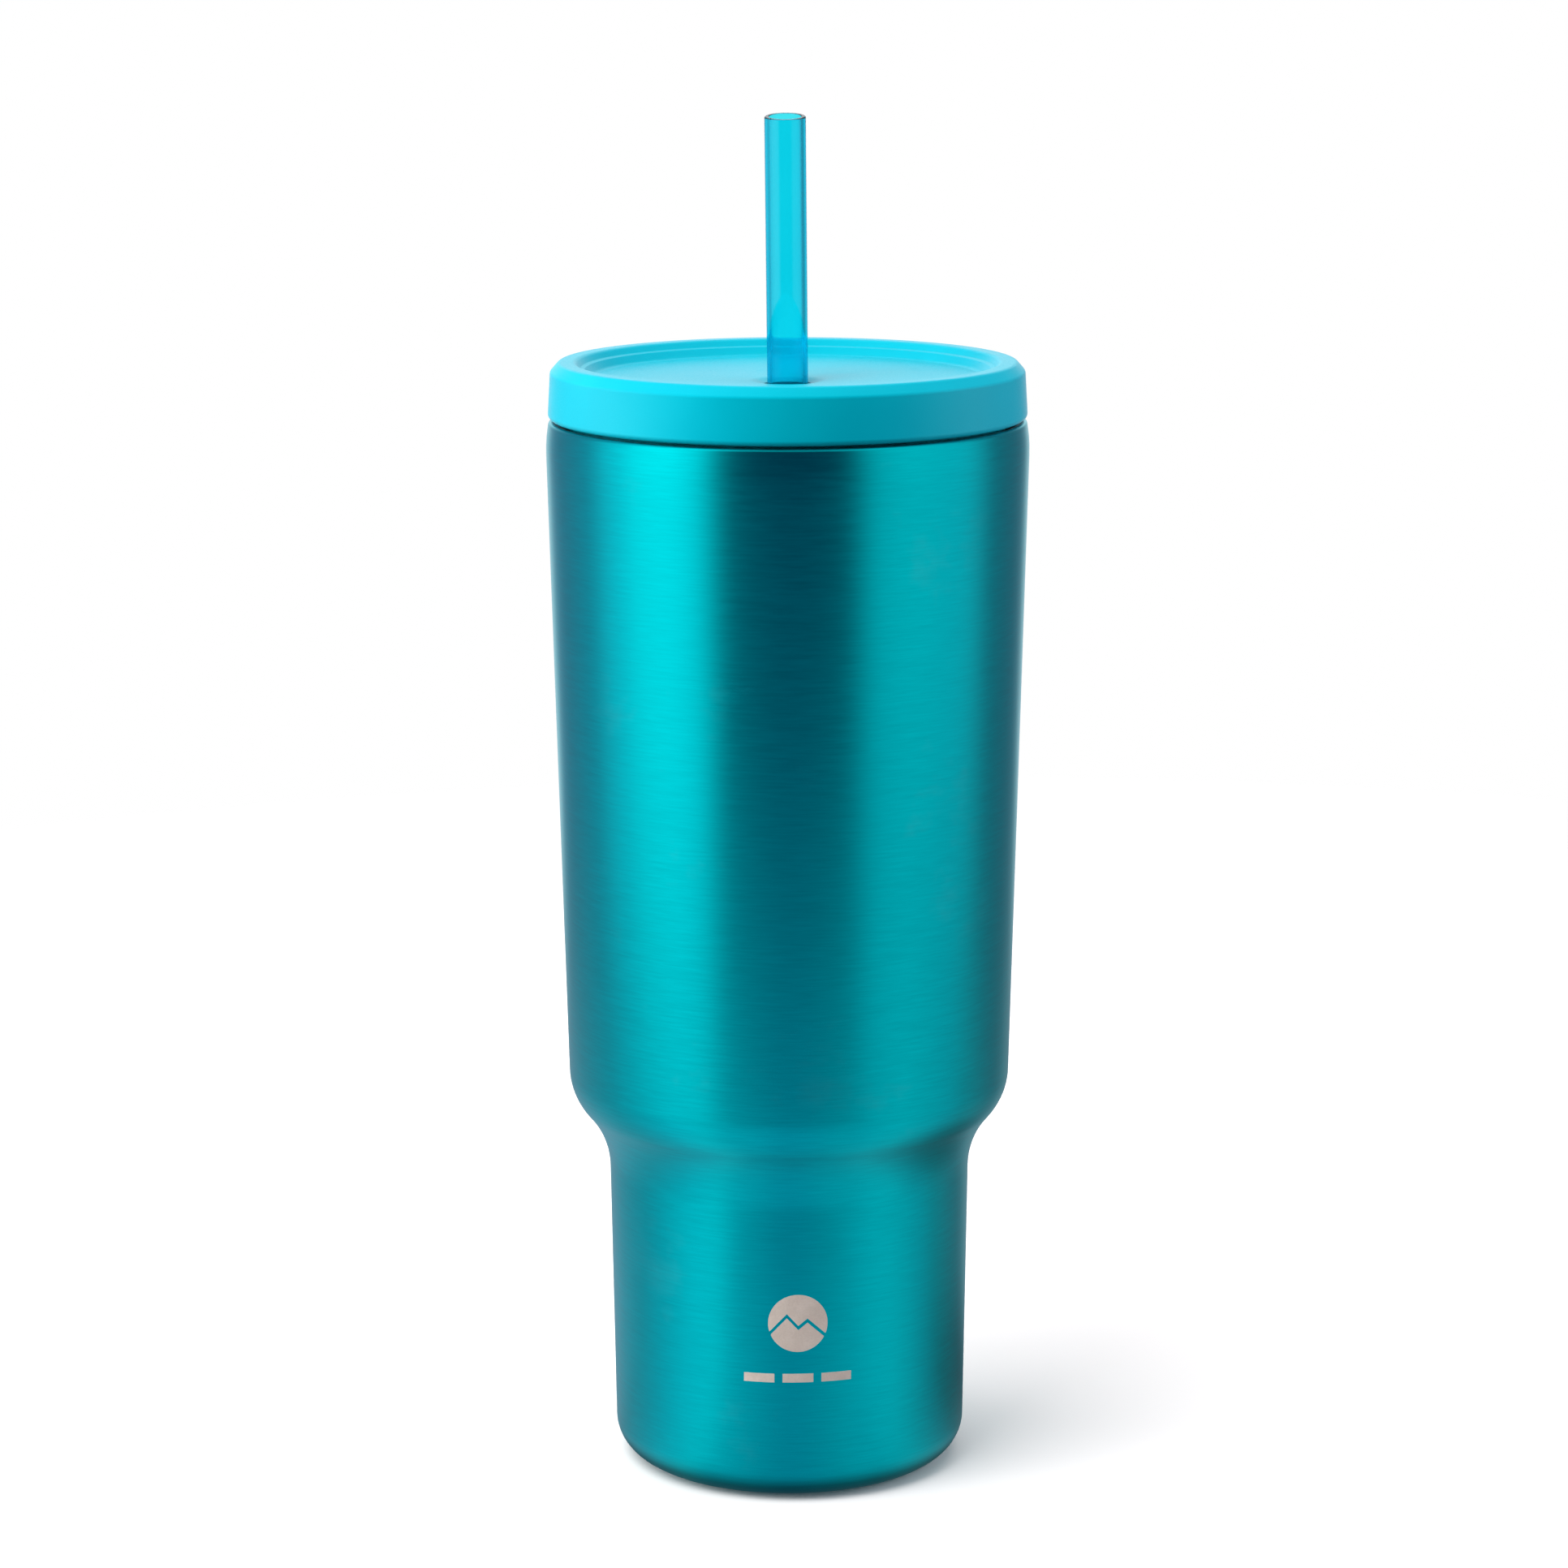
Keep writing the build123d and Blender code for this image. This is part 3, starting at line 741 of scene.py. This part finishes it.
def pale_floor():
    """Matt white sweep that fades out before it ends and is clear from below.

    Only the camera sees it lit; other rays see a dim glow in its place.
    """
    made, tree, shader = new_material("pale_floor")
    where = add(tree, "ShaderNodeTexCoord").outputs["Object"]
    mottle = noise(tree, 8.0, detail=3.0)
    link(tree, shader, Base_Color=blend(tree, spread(tree, mottle, 0.0, 1.0), FLOOR_DARK, FLOOR_LIGHT))
    fix(shader, Roughness=0.7, Specular_IOR_Level=0.0)
    fix(shader, Emission_Color=(*WHITE, 1.0), Emission_Strength=FLOOR_LIFT)
    reach = compute_vector(tree, "LENGTH", where)["Value"]
    clear = add(tree, "ShaderNodeBsdfTransparent").outputs[0]
    fade = spread(tree, reach, 0.0, 1.0, FLOOR_SOLID, FLOOR_END)
    lit = add(tree, "ShaderNodeMixShader", {0: fade, 1: shader.outputs[0], 2: clear}).outputs[0]

    from_foot = compute_vector(tree, "ADD", where, (*FLOOR_CENTRE, 0.0))["Vector"]
    distance = compute_vector(tree, "LENGTH", from_foot)["Value"]
    to_shadow = compute_vector(tree, "DISTANCE", from_foot, (*SHADOW_PLACE, 0.0))["Value"]
    ray = add(tree, "ShaderNodeLightPath").outputs
    strength = product(
        tree,
        spread(tree, distance, 1.0, GLOW_SHRUNK, GLOW_NEAR, GLOW_FAR),
        spread(tree, to_shadow, SHADOW_SHARE, 1.0, SHADOW_CORE, SHADOW_EDGE),
        spread(tree, distance, FOOT_SHADE, 1.0, *FOOT_EDGE),
        spread(tree, distance, CONTACT_SHADE, 1.0, *CONTACT_EDGE),
        spread(tree, ray["Is Diffuse Ray"], 1.0, GLOW_MATT_SHARE, 0.0, 1.0),
    )
    colour = by_bearing(tree, add(tree, "ShaderNodeSeparateXYZ", {"Vector": from_foot}).outputs, FLOOR_GLOW)
    glow = add(tree, "ShaderNodeEmission", {"Color": colour, "Strength": strength}).outputs[0]
    glow_fade = spread(tree, distance, 0.0, 1.0, *GLOW_FADE)
    glow = add(tree, "ShaderNodeMixShader", {0: glow_fade, 1: glow, 2: clear}).outputs[0]

    surface = add(tree, "ShaderNodeMixShader", {0: ray["Is Camera Ray"], 1: glow, 2: lit}).outputs[0]
    from_below = add(tree, "ShaderNodeNewGeometry").outputs["Backfacing"]
    surface = add(tree, "ShaderNodeMixShader", {0: from_below, 1: surface, 2: clear}).outputs[0]
    tree.links.new(surface, output_of(tree).inputs["Surface"])
    return made


floor_mesh = bpy.data.meshes.new("floor")
floor_corners = [(x * FLOOR_EDGE, y * FLOOR_EDGE, 0.0) for x, y in ((-1, -1), (1, -1), (1, 1), (-1, 1))]
floor_mesh.from_pydata(floor_corners, [], [(0, 1, 2, 3)])
floor = bpy.data.objects.new("floor", floor_mesh)
floor.location = (*FLOOR_CENTRE, 0.0)
bpy.context.scene.collection.objects.link(floor)
floor.data.materials.append(pale_floor())

# ---------------------------------------------------------------- light
# Radiance round the horizon, by bearing. Reflections see soft boxes to the left and right and the white
# sweep behind.
STUDIO = [
    (-180, (1.08, 1.12, 1.18)), (-166, (0.98, 1.02, 1.10)), (-150, (0.26, 0.30, 0.40)),
    (-139, (0.20, 0.24, 0.33)), (-112, (0.28, 0.32, 0.42)), (-90, (0.82, 0.87, 0.98)),
    (-74, (1.30, 1.36, 1.38)), (-60, (1.42, 1.46, 1.46)), (-48, (1.22, 1.27, 1.33)),
    (-28, (0.0, 0.03, 0.07)), (0, (0.0, 0.015, 0.05)), (26, (0.0, 0.02, 0.055)),
    (46, (0.62, 0.67, 0.72)), (62, (0.68, 0.73, 0.77)), (92, (0.60, 0.66, 0.73)),
    (118, (0.15, 0.18, 0.23)), (140, (0.13, 0.16, 0.21)), (152, (0.20, 0.22, 0.28)),
    (167, (0.95, 0.99, 1.06)), (180, (1.08, 1.12, 1.18)),
]
# Matt surfaces are lit from both sides, more from the left, and hardly from the front.
SIDE_LIGHT = [
    (-180, (0.60, 0.60, 0.60)), (-130, (1.20, 1.20, 1.20)), (-100, (4.80, 4.80, 4.80)),
    (-74, (5.60, 5.60, 5.60)), (-48, (1.60, 1.60, 1.60)), (-30, (0.05, 0.05, 0.05)),
    (-10, (0.0, 0.0, 0.0)), (22, (0.0, 0.0, 0.0)), (48, (0.05, 0.05, 0.05)),
    (66, (1.50, 1.50, 1.70)), (92, (3.60, 3.60, 4.00)), (125, (0.90, 0.90, 0.90)),
    (180, (0.60, 0.60, 0.60)),
]
# What is seen through the clear straw: the white sweep behind it, and the darker room beside that.
BACKDROP = [
    (-180, WHITE), (-160, WHITE), (-140, (0.66, 0.70, 0.74)), (-110, (0.50, 0.54, 0.58)),
    (110, (0.30, 0.34, 0.38)), (145, (0.42, 0.46, 0.50)), (168, WHITE), (180, WHITE),
]
# Overhead, the ring of lights gives way to one even tone between these sines of the elevation.
OVERHEAD_GLOSS = (0.80, 0.82, 0.84)
OVERHEAD_MATT = (0.25, 0.25, 0.25)
GLOSS_RISE = (0.75, 1.0)
MATT_RISE = (0.4, 0.8)

world = bpy.data.worlds.new("studio")
bpy.context.scene.world = world
world.use_nodes = True
sky = world.node_tree
sky.nodes.clear()
direction = add(sky, "ShaderNodeTexCoord").outputs["Generated"]
axes = add(sky, "ShaderNodeSeparateXYZ", {"Vector": direction}).outputs
gloss_rise = spread(sky, axes["Z"], 0.0, 1.0, *GLOSS_RISE)
matt_rise = spread(sky, axes["Z"], 0.0, 1.0, *MATT_RISE)
gloss = blend(sky, gloss_rise, by_bearing(sky, axes, STUDIO), OVERHEAD_GLOSS)
matt = blend(sky, matt_rise, by_bearing(sky, axes, SIDE_LIGHT), OVERHEAD_MATT)
ray = add(sky, "ShaderNodeLightPath").outputs
room = blend(sky, ray["Is Diffuse Ray"], gloss, matt)
room = blend(sky, ray["Is Transmission Ray"], room, by_bearing(sky, axes, BACKDROP))
room = blend(sky, ray["Is Camera Ray"], room, WHITE)
background = add(sky, "ShaderNodeBackground", {"Color": room})
add(sky, "ShaderNodeOutputWorld", {"Surface": background.outputs[0]})


def lamp(name, size, power, place, target):
    """A soft square lamp, in metres and watts, that neither the camera nor reflections see."""
    data = bpy.data.lights.new(name, "AREA")
    data.shape = "SQUARE"
    data.size = size
    data.energy = power
    made = bpy.data.objects.new(name, data)
    bpy.context.scene.collection.objects.link(made)
    made.location = place
    made.rotation_euler = (Vector(target) - Vector(place)).to_track_quat("-Z", "Y").to_euler()
    made.visible_camera = False
    made.visible_glossy = False


lamp("key", size=0.75, power=10.4, place=(-0.48, -0.54, 1.16), target=(0.0, 0.0, 0.10))
lamp("overhead", size=1.6, power=12.6, place=(0.0, 0.1, 1.6), target=(0.0, 0.05, 0.0))

# ---------------------------------------------------------------- camera
CAMERA_PLACE = (-0.00093, -0.94344, 0.33729)
CAMERA_PITCH = 0.2002
CAMERA_ROLL = -0.0021
CAMERA_LENS = 105.05
CAMERA_SENSOR = 36.0
camera_data = bpy.data.cameras.new("camera")
camera_data.lens = CAMERA_LENS
camera_data.sensor_width = CAMERA_SENSOR
camera = bpy.data.objects.new("camera", camera_data)
bpy.context.scene.collection.objects.link(camera)
tilt = Matrix.Rotation(math.pi / 2 - CAMERA_PITCH, 4, "X") @ Matrix.Rotation(CAMERA_ROLL, 4, "Z")
camera.matrix_world = Matrix.Translation(CAMERA_PLACE) @ tilt
bpy.context.scene.camera = camera
bpy.context.scene.view_settings.view_transform = "Standard"
bpy.context.scene.view_settings.look = "None"
